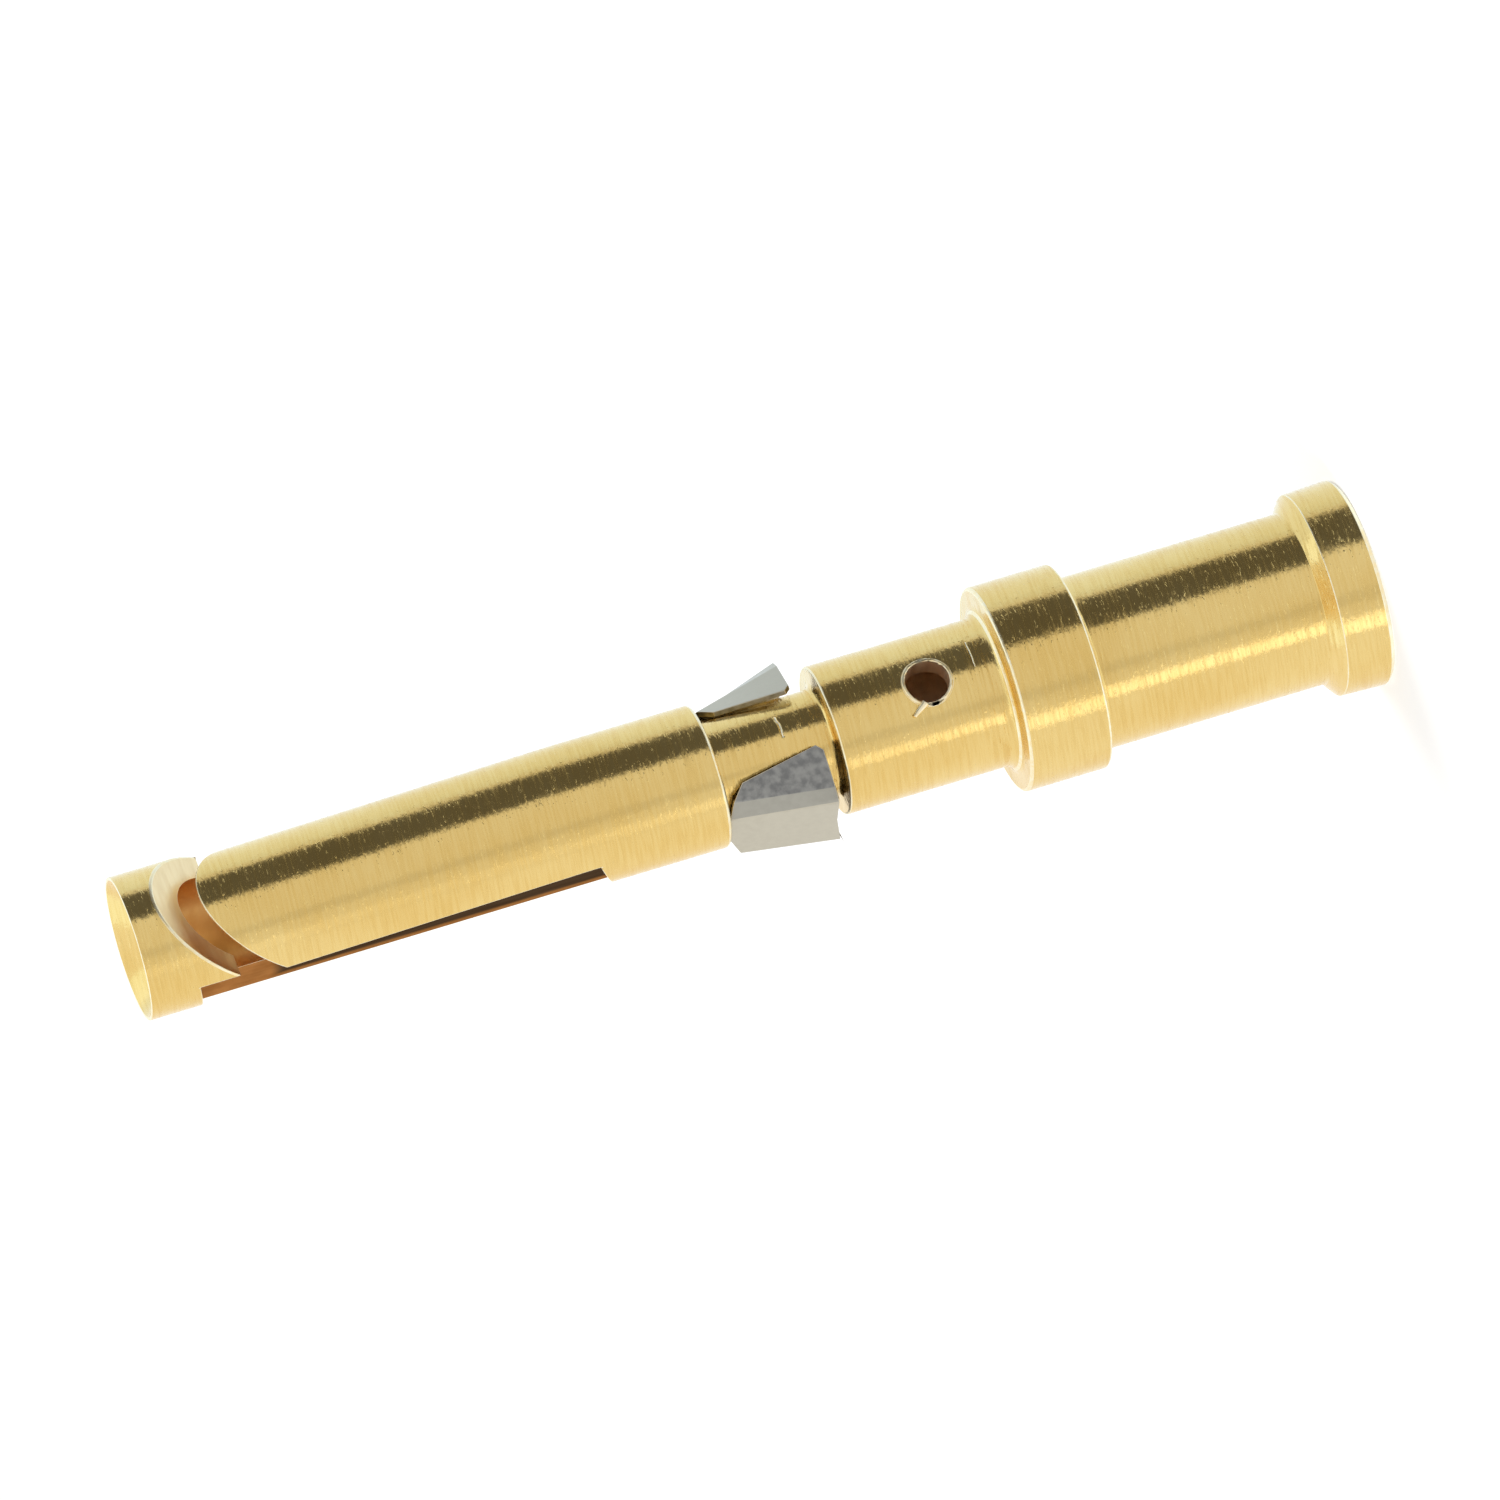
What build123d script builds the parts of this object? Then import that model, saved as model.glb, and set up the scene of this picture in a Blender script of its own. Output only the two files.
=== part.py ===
from build123d import *
import os
from math import cos, radians, sin, tan

# Crimp socket contact, standing on its wire end.
# The axis is Z, the origin is the centre of the wire-end face, and the socket mouth is at the top.
# The spring arm, the inspection hole and the open side of the clip face -Y. Millimetres.

os.makedirs("parts", exist_ok=True)

# Lengths along the axis, from the wire end up
flange_length = 0.85
flange_cone_length = 0.2
barrel_length = 4.05
collar_length = 1.47
rear_body_length = 3.06
neck_length = 2.08
tube_length = 10.29

# Outside diameters
flange_rear_diameter = 3.62
flange_front_diameter = 3.56
barrel_diameter = 3.02
collar_diameter = 3.6
rear_body_diameter = 2.6
neck_diameter = 1.85
tube_diameter = 2.5

# Edge breaks and corner radii
flange_chamfer = 0.07
collar_edge_radius = 0.06
rear_body_edge_radius = 0.04
tube_edge_radius = 0.08
corner_radius = 0.1
collar_root_radius = 0.2

# Socket bore and its countersunk mouth
pin_diameter = 1.6
pin_clearance = 0.05
socket_bore_depth = 9.3
mouth_land = 0.05
mouth_half_angle = 45
drill_half_angle = 59

# Crimp bore and inspection hole
wire_bore_diameter = 1.75
wire_bore_depth = 8.4
wire_bore_chamfer = 0.12
inspection_hole_diameter = 0.76
inspection_hole_z = 7.88
inspection_hole_turn = 8.5

# Side cuts that free the spring arm and leave the web on the +Y side
web_width = 1.54
side_cut_level = 0.19
side_cut_front = 0.87
side_cut_rear = 7.95
side_cut_front_lean = 4
side_cut_rear_lean = 17

# Slanting saw cut behind the socket ring, and the inward set of the arm
saw_angle = 46
saw_thickness = 0.555
ring_least_length = 0.49
arm_set_angle = 2.0
arm_bend_radius = 12

# Retention clip: sheet and grip on the neck
clip_thickness = 0.1
clip_clearance = 0.02
clip_end_gap = 0.02
clip_length = 1.88
clip_corner_setback = 0.22
clip_corner_run = 0.55

# Retention clip: walls, folds and lips at the upper end
fold_drop_top = 0.87
fold_angle_top = 18
fold_width_top = 0.36
lip_angle_top = 48
lip_width_top = 0.22
lip_setback = 0.33
lip_setback_slope = 44

# Retention clip: walls, folds and lips at the lower, spread end
corner_spread = 0.31
wall_spread = 0.5
fold_drop_base = 0.5
fold_angle_base = 53
fold_width_base = 0.265
lip_angle_base = 66
lip_width_base = 0.83

# Retention clip: free ends of the two lances
lance_step_y = 0.2
left_lance_shortening = 0.13
right_lance_shortening = 0.23
lance_tip_chamfer = 0.13

# Stations along the axis
barrel_z = flange_length + flange_cone_length
collar_z = barrel_z + barrel_length
rear_body_z = collar_z + collar_length
neck_z = rear_body_z + rear_body_length
tube_z = neck_z + neck_length
mouth_z = tube_z + tube_length
arm_root_z = mouth_z - side_cut_rear

# Radii
flange_rear_radius = flange_rear_diameter / 2
flange_front_radius = flange_front_diameter / 2
barrel_radius = barrel_diameter / 2
collar_radius = collar_diameter / 2
rear_body_radius = rear_body_diameter / 2
neck_radius = neck_diameter / 2
tube_radius = tube_diameter / 2
socket_bore_radius = (pin_diameter + pin_clearance) / 2
wire_bore_radius = wire_bore_diameter / 2

# The countersink runs from just inside the tube's edge down to the bore
mouth_radius = tube_radius - mouth_land
mouth_depth = (mouth_radius - socket_bore_radius) / tan(radians(mouth_half_angle))

# How much deeper the drill points reach than the straight bores
socket_point = socket_bore_radius / tan(radians(drill_half_angle))
wire_point = wire_bore_radius / tan(radians(drill_half_angle))

# Cutters run out this far past the surface they cut
overrun = 0.5
cutter_reach = tube_radius + overrun
side_cut_depth = side_cut_level + cutter_reach
saw_slope = tan(radians(saw_angle))
saw_length = saw_thickness / cos(radians(saw_angle))

# The saw cut crosses the axis this far from the mouth: first the ring's side, then the arm's side
ring_axis_length = ring_least_length + tube_radius * saw_slope
arm_axis_end = ring_axis_length + saw_length

# On the right the side cut starts only where the slanting cut meets it, so the ring's wall stays whole
right_cut_front = ring_axis_length - side_cut_level * saw_slope

# Sizes that differ by less than this are the same size
same_size = 1e-6


def ring_edge(part, radius, height):
    """The full circular edge of a turned step, found by its radius and its height."""
    circles = part.edges().filter_by(GeomType.CIRCLE)
    return circles.filter_by(
        lambda edge: abs(edge.radius - radius) < same_size
        and abs(edge.arc_center.Z - height) < same_size
    )


# Spring arm: a trough of tube wall, bent inwards at its root and cut off on the slant at its tip
arm_length = side_cut_rear - arm_axis_end
arm_overrun = tube_radius * saw_slope + overrun
tip_lean = radians(saw_angle + arm_set_angle)

with BuildPart() as spring_arm:
    with BuildLine(Plane.YZ) as arm_route:
        arm_bend = JernArc(
            start=(0, arm_root_z),
            tangent=(0, 1),
            radius=arm_bend_radius,
            arc_size=-arm_set_angle,
        )
        arm_tip = arm_bend @ 1 + (arm_bend % 1) * (arm_length - arm_bend.length)
        Line(arm_bend @ 1, arm_tip + (arm_bend % 1) * arm_overrun)
    with BuildSketch(Plane.XY.offset(arm_root_z)) as arm_section:
        Circle(tube_radius)
        Circle(socket_bore_radius, mode=Mode.SUBTRACT)
        with Locations((0, -side_cut_level)):
            Rectangle(
                2 * cutter_reach,
                cutter_reach,
                align=(Align.CENTER, Align.MAX),
                mode=Mode.INTERSECT,
            )
    sweep(path=arm_route.line)
    split(
        bisect_by=Plane(origin=arm_tip, x_dir=(1, 0, 0), z_dir=(0, sin(tip_lean), cos(tip_lean))),
        keep=Keep.BOTTOM,
    )

# Contact body: turned from one bar
with BuildPart() as contact_body:
    with BuildSketch(Plane.XZ) as outline:
        with BuildLine():
            Polyline(
                (0, 0),
                (flange_rear_radius - flange_chamfer, 0),
                (flange_rear_radius, flange_chamfer),
                (flange_front_radius, flange_length),
                (barrel_radius, barrel_z),
                (barrel_radius, collar_z),
                (collar_radius, collar_z),
                (collar_radius, rear_body_z),
                (rear_body_radius, rear_body_z),
                (rear_body_radius, neck_z),
                (neck_radius, neck_z),
                (neck_radius, tube_z),
                (tube_radius, tube_z),
                (tube_radius, mouth_z),
                (0, mouth_z),
                close=True,
            )
        make_face()
    revolve(axis=Axis.Z)
    fillet(ring_edge(contact_body, collar_radius, collar_z), radius=collar_edge_radius)
    fillet(ring_edge(contact_body, collar_radius, rear_body_z), radius=collar_edge_radius)
    fillet(ring_edge(contact_body, rear_body_radius, neck_z), radius=rear_body_edge_radius)
    fillet(ring_edge(contact_body, tube_radius, tube_z), radius=tube_edge_radius)
    fillet(ring_edge(contact_body, barrel_radius, collar_z), radius=corner_radius)
    fillet(ring_edge(contact_body, rear_body_radius, rear_body_z), radius=collar_root_radius)
    fillet(ring_edge(contact_body, neck_radius, neck_z), radius=corner_radius)

    # Socket bore with its countersink
    with BuildSketch(Plane.XZ) as socket_bore:
        with BuildLine():
            Polyline(
                (0, mouth_z),
                (mouth_radius, mouth_z),
                (socket_bore_radius, mouth_z - mouth_depth),
                (socket_bore_radius, mouth_z - socket_bore_depth),
                (0, mouth_z - socket_bore_depth - socket_point),
                close=True,
            )
        make_face()
    revolve(axis=Axis.Z, mode=Mode.SUBTRACT)

    # Crimp bore with its entry chamfer
    with BuildSketch(Plane.XZ) as wire_bore:
        with BuildLine():
            Polyline(
                (0, 0),
                (wire_bore_radius + wire_bore_chamfer, 0),
                (wire_bore_radius, wire_bore_chamfer),
                (wire_bore_radius, wire_bore_depth),
                (0, wire_bore_depth + wire_point),
                close=True,
            )
        make_face()
    revolve(axis=Axis.Z, mode=Mode.SUBTRACT)

    # Inspection hole through one wall, into the crimp bore
    hole_side = (-sin(radians(inspection_hole_turn)), -cos(radians(inspection_hole_turn)), 0)
    with BuildSketch(Plane(origin=(0, 0, inspection_hole_z), x_dir=(0, 0, 1), z_dir=hole_side)):
        Circle(inspection_hole_diameter / 2)
    extrude(amount=rear_body_radius + overrun, mode=Mode.SUBTRACT)

    # Window that the arm takes the place of, from its root up to the slanting cut
    with BuildSketch(Plane.YZ) as arm_window:
        with BuildLine():
            Polyline(
                (-side_cut_level, arm_root_z),
                (-cutter_reach, arm_root_z),
                (-cutter_reach, mouth_z - ring_axis_length + cutter_reach * saw_slope),
                (-side_cut_level, mouth_z - ring_axis_length + side_cut_level * saw_slope),
                close=True,
            )
        make_face()
    extrude(amount=cutter_reach, both=True, mode=Mode.SUBTRACT)

    # Side cuts, one each side of the web, with leaning ends
    front_lean = side_cut_depth * tan(radians(side_cut_front_lean))
    rear_lean = side_cut_depth * tan(radians(side_cut_rear_lean))
    for side, cut_front in ((-1, side_cut_front), (1, right_cut_front)):
        with BuildSketch(Plane.YZ.offset(side * web_width / 2)) as side_cut:
            with BuildLine():
                Polyline(
                    (-side_cut_level, arm_root_z),
                    (cutter_reach, arm_root_z - rear_lean),
                    (cutter_reach, mouth_z - cut_front - front_lean),
                    (-side_cut_level, mouth_z - cut_front),
                    close=True,
                )
            make_face()
        extrude(amount=side * cutter_reach, mode=Mode.SUBTRACT)

    add(spring_arm.part)

# Retention clip: folded from sheet round the neck, spreading into two lances towards the wire end
clip_outer = neck_radius + clip_clearance + clip_thickness
clip_top_z = tube_z - clip_end_gap
clip_base_z = clip_top_z - clip_length


def step(start, length, angle):
    """The point reached from start at this angle to -Y, leaning towards the middle."""
    turn = radians(angle)
    return start[0] - length * sin(turn), start[1] - length * cos(turn)


def clip_half(corner_x, fold_x, fold_drop, fold_angle, fold_width, lip_angle, lip_width):
    """Outer corners of the clip's +X half, from the back corner to the lip's free edge."""
    fold = (fold_x, fold_drop - clip_outer)
    lip = step(fold, fold_width, fold_angle)
    return [(corner_x, clip_outer), fold, lip, step(lip, lip_width, lip_angle)]


def clip_section(half, height):
    """Sheet section of the clip: the outer line of both halves, offset inwards by the sheet."""
    with BuildSketch(Plane.XY.offset(height)) as section:
        with BuildLine() as outer:
            Polyline([(-x, y) for x, y in reversed(half)] + half)
            offset(amount=clip_thickness, side=Side.RIGHT, kind=Kind.INTERSECTION)
        make_face()
    return section.sketch


top_half = clip_half(
    clip_outer, clip_outer, fold_drop_top, fold_angle_top, fold_width_top, lip_angle_top, lip_width_top
)
base_half = clip_half(
    clip_outer + corner_spread,
    clip_outer + wall_spread,
    fold_drop_base,
    fold_angle_base,
    fold_width_base,
    lip_angle_base,
    lip_width_base,
)
lip_edge_x = base_half[-1][0]

with BuildPart() as retention_clip:
    base_section = clip_section(base_half, clip_base_z)
    top_section = clip_section(top_half, clip_top_z)
    loft(sections=[base_section, top_section], ruled=True)

    # Upper edges of the folds and lips, sloping down to the open side
    notch_slope = tan(radians(lip_setback_slope))
    notch_half = clip_outer - lip_setback * notch_slope
    notch_top_half = clip_outer + overrun * notch_slope
    with BuildSketch(Plane.XZ) as lip_notch:
        with BuildLine():
            Polyline(
                (-notch_top_half, clip_top_z + overrun),
                (-notch_half, clip_top_z - lip_setback),
                (notch_half, clip_top_z - lip_setback),
                (notch_top_half, clip_top_z + overrun),
                close=True,
            )
        make_face()
    extrude(amount=cutter_reach, mode=Mode.SUBTRACT)

    # Upper edge cut back at the two rear corners
    corner_slope = clip_corner_setback / clip_corner_run
    with BuildSketch(Plane.YZ) as corner_cut:
        with BuildLine():
            Polyline(
                (clip_outer - clip_corner_run, clip_top_z),
                (clip_outer + overrun, clip_top_z - clip_corner_setback - overrun * corner_slope),
                (clip_outer + overrun, clip_top_z + overrun),
                (clip_outer - clip_corner_run, clip_top_z + overrun),
                close=True,
            )
        make_face()
    extrude(amount=cutter_reach, both=True, mode=Mode.SUBTRACT)

    # Free ends of the lances: each stops short of the back wall, with its tip corner taken off
    for side, shortening in ((-1, left_lance_shortening), (1, right_lance_shortening)):
        lance_z = clip_base_z + shortening
        chamfer_x = lip_edge_x + lance_tip_chamfer
        with BuildSketch(Plane.XZ.offset(-lance_step_y)) as lance_end:
            with BuildLine():
                Polyline(
                    (0, clip_base_z - overrun),
                    (side * cutter_reach, clip_base_z - overrun),
                    (side * cutter_reach, lance_z),
                    (side * chamfer_x, lance_z),
                    (0, lance_z + chamfer_x),
                    close=True,
                )
            make_face()
        extrude(amount=cutter_reach + lance_step_y, mode=Mode.SUBTRACT)

contact_body.part.label = "contact_body"
retention_clip.part.label = "retention_clip"
export_step(contact_body.part, "parts/contact_body.step")
export_step(retention_clip.part, "parts/retention_clip.step")
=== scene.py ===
from math import atan, cos, pi, radians, sin, tan

import bpy
from mathutils import Matrix, Vector


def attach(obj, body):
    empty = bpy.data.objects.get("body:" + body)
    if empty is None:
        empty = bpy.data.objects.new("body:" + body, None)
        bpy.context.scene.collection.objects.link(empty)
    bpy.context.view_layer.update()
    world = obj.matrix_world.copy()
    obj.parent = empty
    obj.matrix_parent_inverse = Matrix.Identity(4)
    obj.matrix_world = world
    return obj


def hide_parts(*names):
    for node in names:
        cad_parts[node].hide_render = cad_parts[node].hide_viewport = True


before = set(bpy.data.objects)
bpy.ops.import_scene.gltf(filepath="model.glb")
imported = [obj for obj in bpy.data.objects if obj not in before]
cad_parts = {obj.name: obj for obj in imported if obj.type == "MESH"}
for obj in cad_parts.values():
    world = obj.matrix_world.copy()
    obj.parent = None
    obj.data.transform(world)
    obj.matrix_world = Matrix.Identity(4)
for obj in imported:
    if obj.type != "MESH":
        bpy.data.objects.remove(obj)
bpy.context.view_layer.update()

# Crimp socket contact, standing on its wire end with the axis along Z.
# Sizes are in millimetres, and each finished piece is brought to metres.
METRES_PER_MM = 0.001

# Lengths along the axis, from the wire end up
FLANGE_LENGTH = 0.85
FLANGE_CONE_LENGTH = 0.2
BARREL_LENGTH = 4.05
COLLAR_LENGTH = 1.47
REAR_BODY_LENGTH = 3.06
NECK_LENGTH = 2.08
TUBE_LENGTH = 10.29

# Radii
FLANGE_REAR_RADIUS = 1.81
FLANGE_FRONT_RADIUS = 1.78
BARREL_RADIUS = 1.51
COLLAR_RADIUS = 1.8
REAR_BODY_RADIUS = 1.3
NECK_RADIUS = 0.925
TUBE_RADIUS = 1.25
SOCKET_RADIUS = 0.825
WIRE_BORE_RADIUS = 0.875

# Edges and corners
FLANGE_CHAMFER = 0.07
WIRE_BORE_CHAMFER = 0.12
COLLAR_EDGE = 0.06
REAR_BODY_EDGE = 0.04
TUBE_EDGE = 0.08
CORNER_RADIUS = 0.1
COLLAR_ROOT = 0.2
# Radii of a band in the collar's root fillet that gets the pale edge finish, a painted highlight line
ROOT_HIGHLIGHT_BAND = (1.37, 1.39)
SOFT_CORNER = 0.03
EDGE_BREAK = 0.012
CUT_EDGE = 0.034

# Bores
SOCKET_DEPTH = 9.3
MOUTH_LAND = 0.05
WIRE_BORE_DEPTH = 8.4
DRILL_HALF_ANGLE = radians(59)
HOLE_RADIUS = 0.38
HOLE_Z = 7.88
HOLE_TURN = radians(8.5)
RIM_RADIUS = 0.437
RIM_HEIGHT = 0.03
RIM_START = 1.0
RIM_EDGE = 0.023
RIM_BLOCK_LENGTH = 4 * RIM_RADIUS

# Rings of vertices this far above and below the hole keep the shading beyond them smooth
HOLE_BELT = 0.47

# Side cuts, slanting saw cut and the inward set of the spring arm
WEB_WIDTH = 1.54
CUT_LEVEL = 0.19
LEFT_CUT_FRONT = 0.87
CUT_REAR = 7.95
CUT_FRONT_LEAN = radians(4)
CUT_REAR_LEAN = radians(17)
SAW_ANGLE = radians(46)
SAW_THICKNESS = 0.555
SAW_RUNOUT = 0.1
RING_LEAST_LENGTH = 0.49
ARM_SET = radians(2.0)
ARM_BEND_RADIUS = 12
ARM_BEND_STEPS = 4

# Stations along the axis
BARREL_Z = FLANGE_LENGTH + FLANGE_CONE_LENGTH
COLLAR_Z = BARREL_Z + BARREL_LENGTH
REAR_BODY_Z = COLLAR_Z + COLLAR_LENGTH
NECK_Z = REAR_BODY_Z + REAR_BODY_LENGTH
TUBE_Z = NECK_Z + NECK_LENGTH
MOUTH_Z = TUBE_Z + TUBE_LENGTH
ARM_ROOT_Z = MOUTH_Z - CUT_REAR

MOUTH_RADIUS = TUBE_RADIUS - MOUTH_LAND
MOUTH_DEPTH = MOUTH_RADIUS - SOCKET_RADIUS
RING_AXIS_LENGTH = RING_LEAST_LENGTH + TUBE_RADIUS * tan(SAW_ANGLE)
SAW_LENGTH = SAW_THICKNESS / cos(SAW_ANGLE)
RIGHT_CUT_FRONT = RING_AXIS_LENGTH - CUT_LEVEL * tan(SAW_ANGLE)

# Cutters end this far from the axis, clear of the surface
CUTTER_OVERRUN = 0.5
REACH = TUBE_RADIUS + CUTTER_OVERRUN

# Facets round the axis and the hole, along a rounded corner and along eased and broken edges
ROUND_FACETS = 208
HOLE_FACETS = 48
CORNER_FACETS = 6
EASED_FACETS = 3
BROKEN_FACETS = 2

# Edges are broken from the first angle on, and shaded smooth up to the second
SHARP_FROM = radians(32)
SMOOTH_UP_TO = radians(30)

# The burr at the hole's edge: its middle, the way it points, and its size
BURR_MIDDLE = Vector((-0.633, -1.186, 8.164))
BURR_DIRECTION = Vector((-0.152, 0.069, 0.24))
BURR_START_RADIUS = 0.07
BURR_END_RADIUS = 0.03
BURR_LENGTH = 0.31
BURR_FACETS = 16

# The finishes that the tools leave on the body, in the order of its materials; EDGE is a painted
# highlight, MILLED carries painted shade, SAWN a painted reflection and DRILLED painted light
TURNED, EDGE, BORED, DRILLED, MILLED, SAWN = range(6)

# A face near an outer edge belongs to that edge if its normal leans at least this much along Z
EDGE_TILT = 0.12

# Points nearer together than this are one point
SAME_POINT = 1e-4

# A point this near to a surface is on it, facets or not
NEAR = 0.004


def edit():
    bpy.ops.object.mode_set(mode="EDIT")


def leave_edit():
    bpy.ops.object.mode_set(mode="OBJECT")


def select_only(piece):
    bpy.ops.object.select_all(action="DESELECT")
    piece.select_set(True)
    bpy.context.view_layer.objects.active = piece


def pick(piece, wanted, kind="VERT"):
    """In edit mode, selects the vertices, edges or faces for which wanted(part) is true."""
    bpy.ops.mesh.select_mode(type=kind)
    bpy.ops.mesh.select_all(action="DESELECT")
    leave_edit()
    mesh = piece.data
    parts = {"VERT": mesh.vertices, "EDGE": mesh.edges, "FACE": mesh.polygons}[kind]
    for part in parts:
        part.select = wanted(part)
    edit()


def line_through(name, points):
    """A chain of edges through the points, left in edit mode with all of it selected."""
    bpy.ops.object.select_all(action="DESELECT")
    bpy.ops.mesh.primitive_plane_add(size=1, location=(0, 0, 0))
    chain = bpy.context.active_object
    chain.name = name
    edit()
    bpy.ops.mesh.select_mode(type="VERT")
    bpy.ops.mesh.merge(type="CENTER")
    bpy.ops.transform.translate(value=points[0])
    for start, end in zip(points, points[1:]):
        move = Vector(end) - Vector(start)
        bpy.ops.mesh.extrude_vertices_move(TRANSFORM_OT_translate={"value": move})
    bpy.ops.mesh.select_all(action="SELECT")
    return chain


def turned(name, outline):
    """A solid turned round Z from an outline of (radius, height) points that starts and ends on it."""
    solid = line_through(name, [(radius, 0, height) for radius, height in outline])
    bpy.ops.mesh.spin(steps=ROUND_FACETS, angle=2 * pi, center=(0, 0, 0), axis=(0, 0, 1))
    bpy.ops.mesh.select_all(action="SELECT")
    bpy.ops.mesh.remove_doubles(threshold=SAME_POINT)
    bpy.ops.mesh.normals_make_consistent(inside=False)
    leave_edit()
    return solid


def bar(name, outline, start_x, end_x):
    """A straight bar along X with an outline of (y, z) points."""
    solid = line_through(name, [(start_x, y, z) for y, z in outline])
    bpy.ops.mesh.edge_face_add()
    bpy.ops.mesh.extrude_region_move(TRANSFORM_OT_translate={"value": (end_x - start_x, 0, 0)})
    bpy.ops.mesh.select_all(action="SELECT")
    bpy.ops.mesh.normals_make_consistent(inside=False)
    leave_edit()
    return solid


def give_finish(part, piece, finish):
    """Gives the part the materials of the piece and one of them on all its faces."""
    for material in piece.data.materials:
        part.data.materials.append(material)
    for face in part.data.polygons:
        face.material_index = finish


def cut(piece, cutter, finish, operation="DIFFERENCE"):
    """Takes the cutter out of the piece, or combines the two otherwise, and leaves that finish."""
    give_finish(cutter, piece, finish)
    select_only(piece)
    saw = piece.modifiers.new("cut", "BOOLEAN")
    saw.object = cutter
    saw.operation = operation
    saw.solver = "EXACT"
    bpy.ops.object.modifier_apply(modifier=saw.name)
    bpy.data.objects.remove(cutter, do_unlink=True)


def rounded(corners):
    """The outline through (radius, height, corner radius) points, with an arc at each corner."""
    points = []
    for index, (radius, height, bend) in enumerate(corners):
        corner = Vector((radius, height))
        if not bend:
            points.append(corner)
            continue
        back = (Vector(corners[index - 1][:2]) - corner).normalized()
        ahead = (Vector(corners[index + 1][:2]) - corner).normalized()
        half = back.angle(ahead) / 2
        centre = corner + (back + ahead).normalized() * bend / sin(half)
        first = corner + back * bend / tan(half) - centre
        last = corner + ahead * bend / tan(half) - centre
        for step in range(CORNER_FACETS + 1):
            arm = first.lerp(last, step / CORNER_FACETS).normalized()
            points.append(centre + arm * bend)
    return points


def body_outline():
    """The turned outline: crimp bore, outside from the flange up, countersink and socket bore."""
    return rounded([
        (0, WIRE_BORE_DEPTH + WIRE_BORE_RADIUS / tan(DRILL_HALF_ANGLE), 0),
        (WIRE_BORE_RADIUS, WIRE_BORE_DEPTH, 0),
        (WIRE_BORE_RADIUS, WIRE_BORE_CHAMFER, 0),
        (WIRE_BORE_RADIUS + WIRE_BORE_CHAMFER, 0, 0),
        (FLANGE_REAR_RADIUS - FLANGE_CHAMFER, 0, 0),
        (FLANGE_REAR_RADIUS, FLANGE_CHAMFER, 0),
        (FLANGE_FRONT_RADIUS, FLANGE_LENGTH, SOFT_CORNER),
        (BARREL_RADIUS, BARREL_Z, SOFT_CORNER),
        (BARREL_RADIUS, COLLAR_Z, CORNER_RADIUS),
        (COLLAR_RADIUS, COLLAR_Z, COLLAR_EDGE),
        (COLLAR_RADIUS, REAR_BODY_Z, COLLAR_EDGE),
        (REAR_BODY_RADIUS, REAR_BODY_Z, COLLAR_ROOT),
        (REAR_BODY_RADIUS, HOLE_Z - HOLE_BELT, 0),
        (REAR_BODY_RADIUS, HOLE_Z + HOLE_BELT, 0),
        (REAR_BODY_RADIUS, NECK_Z, REAR_BODY_EDGE),
        (NECK_RADIUS, NECK_Z, CORNER_RADIUS),
        (NECK_RADIUS, TUBE_Z, 0),
        (TUBE_RADIUS, TUBE_Z, TUBE_EDGE),
        (TUBE_RADIUS, MOUTH_Z, EDGE_BREAK),
        (MOUTH_RADIUS, MOUTH_Z, EDGE_BREAK),
        (SOCKET_RADIUS, MOUTH_Z - MOUTH_DEPTH, SOFT_CORNER),
        (SOCKET_RADIUS, MOUTH_Z - SOCKET_DEPTH, 0),
        (0, MOUTH_Z - SOCKET_DEPTH - SOCKET_RADIUS / tan(DRILL_HALF_ANGLE), 0),
    ])


def hole_side():
    """The direction in which the inspection hole faces."""
    return Vector((-sin(HOLE_TURN), -cos(HOLE_TURN), 0))


def saw_plane(y):
    """Height of the slanting cut's ring side at this y."""
    return MOUTH_Z - RING_AXIS_LENGTH - y * tan(SAW_ANGLE)


def side_cutter(side, front):
    """The cutter on one side of the web, with leaning ends; it starts at front, behind the mouth."""
    depth = CUT_LEVEL + REACH
    outline = [
        (-CUT_LEVEL, ARM_ROOT_Z),
        (REACH, ARM_ROOT_Z - depth * tan(CUT_REAR_LEAN)),
        (REACH, MOUTH_Z - front - depth * tan(CUT_FRONT_LEAN)),
        (-CUT_LEVEL, MOUTH_Z - front),
    ]
    return bar("side_cutter", outline, side * WEB_WIDTH / 2, side * REACH)


def saw_cutter():
    """The slanting cut behind the ring, from outside to a little past the level of the side cuts."""
    inner = SAW_RUNOUT - CUT_LEVEL
    outline = [
        (-REACH, saw_plane(-REACH)),
        (inner, saw_plane(inner)),
        (inner, saw_plane(inner) - SAW_LENGTH),
        (-REACH, saw_plane(-REACH) - SAW_LENGTH),
    ]
    return bar("saw_cutter", outline, -REACH, REACH)


def hole_bar(radius, start):
    """A round bar along the inspection hole, from this far off the axis to outside."""
    bpy.ops.object.select_all(action="DESELECT")
    bpy.ops.mesh.primitive_cylinder_add(
        vertices=HOLE_FACETS,
        radius=radius,
        depth=2 * REACH,
        location=hole_side() * (start + REACH) + Vector((0, 0, HOLE_Z)),
        rotation=hole_side().to_track_quat("Z", "Y").to_euler(),
    )
    return bpy.context.active_object


def make_rim():
    """The low ring of metal that the drill pushed up round the inspection hole."""
    rim = hole_bar(RIM_RADIUS, RIM_START)
    bpy.ops.object.select_all(action="DESELECT")
    bpy.ops.mesh.primitive_cylinder_add(
        vertices=ROUND_FACETS,
        radius=REAR_BODY_RADIUS + RIM_HEIGHT,
        depth=RIM_BLOCK_LENGTH,
        location=(0, 0, HOLE_Z),
    )
    cut(rim, bpy.context.active_object, EDGE, "INTERSECT")
    return rim


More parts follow.
